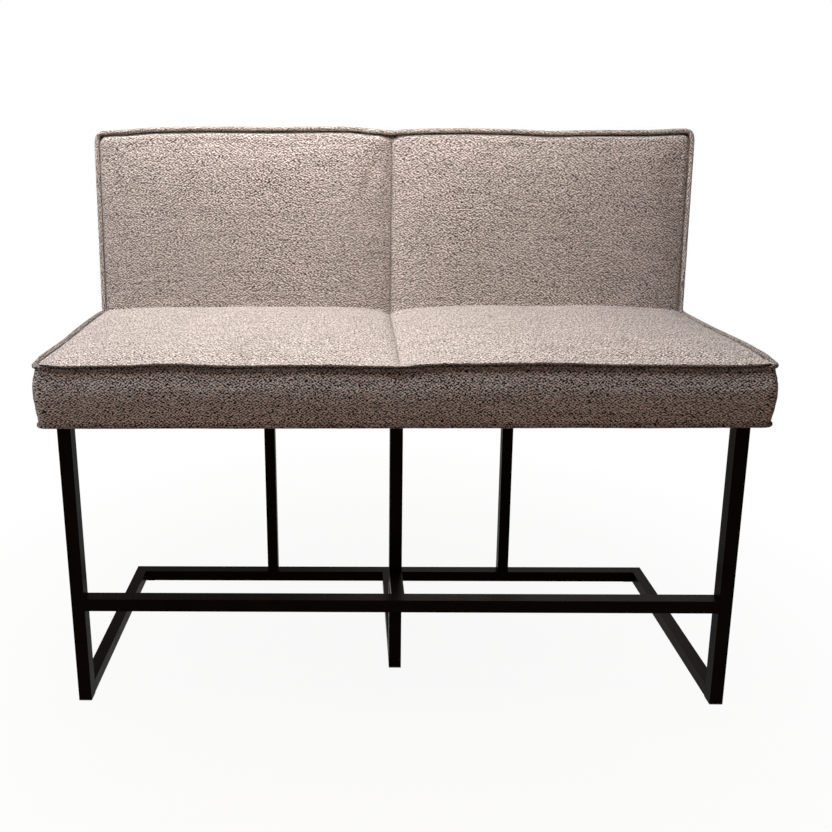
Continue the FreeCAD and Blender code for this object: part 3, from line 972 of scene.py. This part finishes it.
# The covers fill with air by simulation: frames, farthest move, and settings of the cloth
AIR_FRAMES = 20
AIR_REACH = mm(9)
AIR = {
    "quality": 6,
    "tension_stiffness": 25,
    "compression_stiffness": 25,
    "shear_stiffness": 10,
    "bending_stiffness": 1.0,
    "tension_damping": 15,
    "compression_damping": 15,
    "shear_damping": 15,
    "use_pressure": True,
    "uniform_pressure_force": 0.6,
    "vertex_group_mass": "sewn",
}


def inflate():
    """Puff the sewn covers up by cloth simulation, keep a limited share of the move and no modifier."""
    scene = bpy.context.scene
    for piece, free in covers:
        held = set(range(len(piece.data.vertices))) - set(free)
        piece.vertex_groups.new(name="sewn").add(sorted(held), 1.0, "REPLACE")
        air = piece.modifiers.new("air", "CLOTH")
        air.point_cache.frame_start = 1
        air.point_cache.frame_end = AIR_FRAMES
        air.collision_settings.use_collision = False
        for key, value in AIR.items():
            setattr(air.settings, key, value)
        air.settings.effector_weights.gravity = 0
    for number in range(1, AIR_FRAMES + 1):
        scene.frame_set(number)
    graph = bpy.context.evaluated_depsgraph_get()
    ends = [[v.co.copy() for v in piece.evaluated_get(graph).data.vertices] for piece, free in covers]
    for (piece, free), end in zip(covers, ends):
        piece.modifiers.clear()
        piece.vertex_groups.clear()
        for index, share in free.items():
            vertex = piece.data.vertices[index]
            move = end[index] - vertex.co
            vertex.co += move * (share * AIR_REACH / (AIR_REACH + move.length))
        piece.data.update()
    scene.frame_set(1)


inflate()

# Back borders: a band up the sides and over the head, planned flat with its head to the front
BACK_FOOT = 0.046
BACK_BORDER_ROWS = 18
BACK_BORDER_THICKNESS = mm(2.5)
BACK_BORDER_WEAVE = 20
# How sharply the head's uneven line fades out round the top corners
HEAD_TURN = 1.4
# The band starts behind the piping, where it is drawn in, and swells at the sides and more at the head
BAND_START = mm(2.0)
SIDE_SWELL = mm(2.5)
HEAD_SWELL = mm(3.0)
SWELL_SHARPNESS = 2.2
BAND_TUCK = mm(1.5)
BAND_TUCK_POWER = 6
BAND_WAVE = mm(0.8)
BAND_WAVE_SIZE = 0.06
BAND_WAVE_DEEP = 0.07


def head_part(out):
    """How much a place of the back's band belongs to the head: 0 at the sides, 1 along the head."""
    return smooth(-out.y * HEAD_TURN)


def band_height(place, out):
    """How far up the lean a place of the back's band lies, with the head's uneven line."""
    return -place.y + (back_head(place.x) - BACK_TOP) * head_part(out)


def back_band_point(place, out, t):
    """A point of the back's edge band: t from the piping to the outside back."""
    behind = BAND_START + t * (BACK_DEPTH - BAND_START)
    outward = (SIDE_SWELL + HEAD_SWELL * head_part(out)) * bulge(t, SWELL_SHARPNESS)
    outward -= BAND_TUCK * (1 - t) ** BAND_TUCK_POWER
    wave = BAND_WAVE * ripple(place.x + place.y, t * BAND_WAVE_DEEP, BAND_WAVE_SIZE, seed=24)
    outward += wave * bulge(t, 2)
    return back_place(place.x + out.x * outward, behind, band_height(place, out) - out.y * outward)


left_run, head_run, right_run = three_runs(band_path(BACK_HALF, -BACK_TOP, -BACK_FOOT, BORDER_STEP))
bands = {
    "back_border_left": (left_run, ["back_side_border_left", "back_edge_wadding"]),
    "back_border_top": (head_run, ["back_top_border"]),
    "back_border_right": (right_run, ["back_side_border_right"]),
}
for name, (points, nodes) in bands.items():
    rows = []
    weave = []
    shares = span(BACK_BORDER_ROWS)[::-1]
    lengths = along([place for place, out in points])
    for (place, out), length in zip(points, lengths):
        rows.append([back_band_point(place, out, t) for t in shares])
        weave.append([(BACK_BORDER_WEAVE + length, t * BACK_DEPTH) for t in shares])
    sew_border(name, rows, weave, BACK_BORDER_THICKNESS, nodes)

# Back piping: how much lower than the border it starts, and how far it stands out at the sides
BACK_CORD_FOOT = mm(6)
BACK_CORD_OUT = mm(0.5)
line = []
for place, out in band_path(BACK_HALF, -BACK_TOP, -BACK_FOOT + BACK_CORD_FOOT, CORD_STEP):
    line.append(back_place(place.x + out.x * BACK_CORD_OUT, 0.0, band_height(place, out)))
dress(tube_piece("back_piping", line, BACK_CORD), cloth, "back_welt")

# Outside back: one stretched cloth over the stiles
OUTER_THICKNESS = mm(1.5)
OUTER_HALF = BACK_HALF - mm(1.5)
OUTER_BEHIND = BACK_DEPTH + mm(1.5)
OUTER_Y = BACK_FACE + BACK_DEPTH + mm(1.5)
OUTER_TALL = BACK_TOP + DECK_TOP - OUTSIDE_FOOT
OUTER_ROWS = 80
OUTER_STEPS = 150
OUTER_WEAVE = 12
# The cloth gives in a little over the hollow of the back, with slight waves
OUTER_GIVE = mm(1.2)
OUTER_WAVE = mm(0.5)
OUTER_WAVE_SIZE = 0.2


def outside_back_point(s, t):
    """A point of the outside back: s across, t from the foot to the head."""
    x = -OUTER_HALF + s * 2 * OUTER_HALF
    give = OUTER_GIVE * bulge(s, 2) * bulge(t, 2) + OUTER_WAVE * ripple(x, t, OUTER_WAVE_SIZE, seed=30)
    z = OUTSIDE_FOOT + t * OUTER_TALL
    if z < DECK_TOP:
        return Vector((x, OUTER_Y - give, z))
    bow = (back_head(x) - BACK_TOP) * smooth(t * 2 - 1)
    return back_place(x, OUTER_BEHIND - give, z - DECK_TOP + bow)


rows = []
weave = []
steps = span(OUTER_STEPS)[::-1]
for t in span(OUTER_ROWS):
    rows.append([outside_back_point(s, t) for s in steps])
    weave.append([(s * 2 * OUTER_HALF + OUTER_WEAVE, t * OUTER_TALL) for s in steps])
outer = sheet_piece("back_outside", rows, weave, OUTER_THICKNESS)
dress(outer, cloth, "back_outer_panel")
2 * OUTER_HALF

# Floor, white to the camera but for a faint shadow that fades outwards, and white surround
FLOOR_HALF = 9
FLOOR_SHADOW = 0.07
SHADOW_FADE = 0.8
floor_mesh = bpy.data.meshes.new("studio_floor")
floor_corners = [(x * FLOOR_HALF, y * FLOOR_HALF, 0) for x, y in ((-1, -1), (1, -1), (1, 1), (-1, 1))]
floor_mesh.from_pydata(floor_corners, [], [(0, 1, 2, 3)])
floor = bpy.data.objects.new("studio_floor", floor_mesh)
bpy.context.scene.collection.objects.link(floor)
ground = Paint(bpy.data.materials.new("pale floor"))
reach = ground.node("VectorMath", {0: ground.place()}, "Value", operation="LENGTH") * SHADOW_FADE
whiteness = 1 - (1 - (reach * reach).math("MINIMUM", 1.0)) * FLOOR_SHADOW
glow = ground.node("Emission", {"Color": (1, 1, 1, 1), "Strength": 1.0})
matt = ground.node("BsdfDiffuse", {"Color": (0.60, 0.44, 0.36, 1)})
ground.surface(ground.node("MixShader", {0: ground.surround_rays() * whiteness, 1: matt, 2: glow}))
floor_mesh.materials.append(ground.owner)

sky = Paint(bpy.data.worlds.new("studio"))
bpy.context.scene.world = sky.owner
dim = sky.node("Background", {"Color": (1.0, 0.97, 0.94, 1), "Strength": 0.02})
white = sky.node("Background", {"Color": (1, 1, 1, 1), "Strength": 1.0})
sky.surface(sky.node("MixShader", {0: sky.surround_rays(), 1: dim, 2: white}))


def area_light(name, place, target, size, power, colour):
    """A soft rectangular light aimed at a point."""
    data = bpy.data.lights.new(name, "AREA")
    data.shape = "RECTANGLE"
    data.size, data.size_y = size
    data.energy = power
    data.color = colour
    lamp = bpy.data.objects.new(name, data)
    bpy.context.scene.collection.objects.link(lamp)
    lamp.location = place
    aim = (Vector(target) - Vector(place)).to_track_quat("-Z", "Y")
    lamp.rotation_euler = aim.to_euler()


# Overhead lamps: name, across, behind the front legs, height and power
OVERHEAD = [
    ("overhead left", -0.86, 0.26, 1.80, 7.1), ("overhead middle", -0.32, 0.30, 1.80, 3.6),
    ("overhead front", 0.00, 0.02, 1.45, 2.8), ("overhead right", 0.36, 0.02, 1.95, 4.0)]
OVERHEAD_SIZE = (0.5, 0.12)
OVERHEAD_LEAN = 0.02
OVERHEAD_COLOUR = (1.0, 0.895, 0.845)
for name, x, back, z, power in OVERHEAD:
    y = FRONT_Y + back
    area_light(name, (x, y, z), (x, y + OVERHEAD_LEAN, 0), OVERHEAD_SIZE, power, OVERHEAD_COLOUR)
# Fill lamps: name, place, target, size, power and colour
FILLS = [
    ("high fill", (-0.3, -0.9, 2.9), (0, FRONT_Y, 0.6), (1.2, 0.5), 14.5, (1.0, 0.50, 0.32)),
    ("steep fill", (-0.3, -0.55, 2.9), (0, FRONT_Y, 0.6), (1.2, 0.3), 21.5, (0.42, 0.83, 1.0)),
    ("left fill", (-2.4, -0.6, 1.6), (0, FRONT_Y, 0.8), (1.0, 1.0), 15.0, (0.79, 0.88, 1.0)),
    ("rear fill", (0.9, 2.8, 2.2), (0, 0, 0.7), (2.0, 1.2), 45.0, (1.0, 0.95, 0.9))]
for fill in FILLS:
    area_light(*fill)

# Camera at the photograph's viewpoint
CAMERA_PLACE = Vector((-0.0887, FRONT_Y - 1.4599, 1.0770))
YAW, PITCH, ROLL = (math.radians(v) for v in (-1.49, 12.48, 0.59))
FOCAL_PIXELS = 850.0
CENTRE_X = 328.85
CENTRE_Y = 324.84
FRAME_PIXELS = 832.0
SENSOR = 36.0
forward = Vector((math.sin(YAW) * math.cos(PITCH), math.cos(YAW) * math.cos(PITCH), -math.sin(PITCH)))
right = Vector((math.cos(YAW), -math.sin(YAW), 0))
down = forward.cross(right)
image_right = right * math.cos(ROLL) + down * math.sin(ROLL)
image_down = down * math.cos(ROLL) - right * math.sin(ROLL)
camera_data = bpy.data.cameras.new("photo camera")
camera = bpy.data.objects.new("photo camera", camera_data)
bpy.context.scene.collection.objects.link(camera)
facing = Matrix((image_right, -image_down, -forward)).transposed()
camera.matrix_world = Matrix.Translation(CAMERA_PLACE) @ facing.to_4x4()
camera_data.sensor_width = SENSOR
camera_data.lens = FOCAL_PIXELS * SENSOR / FRAME_PIXELS
camera_data.shift_x = (FRAME_PIXELS / 2 - CENTRE_X) / FRAME_PIXELS
camera_data.shift_y = (CENTRE_Y - FRAME_PIXELS / 2) / FRAME_PIXELS
camera_data.clip_end = 50
bpy.context.scene.camera = camera
bpy.context.scene.view_settings.view_transform = "Standard"
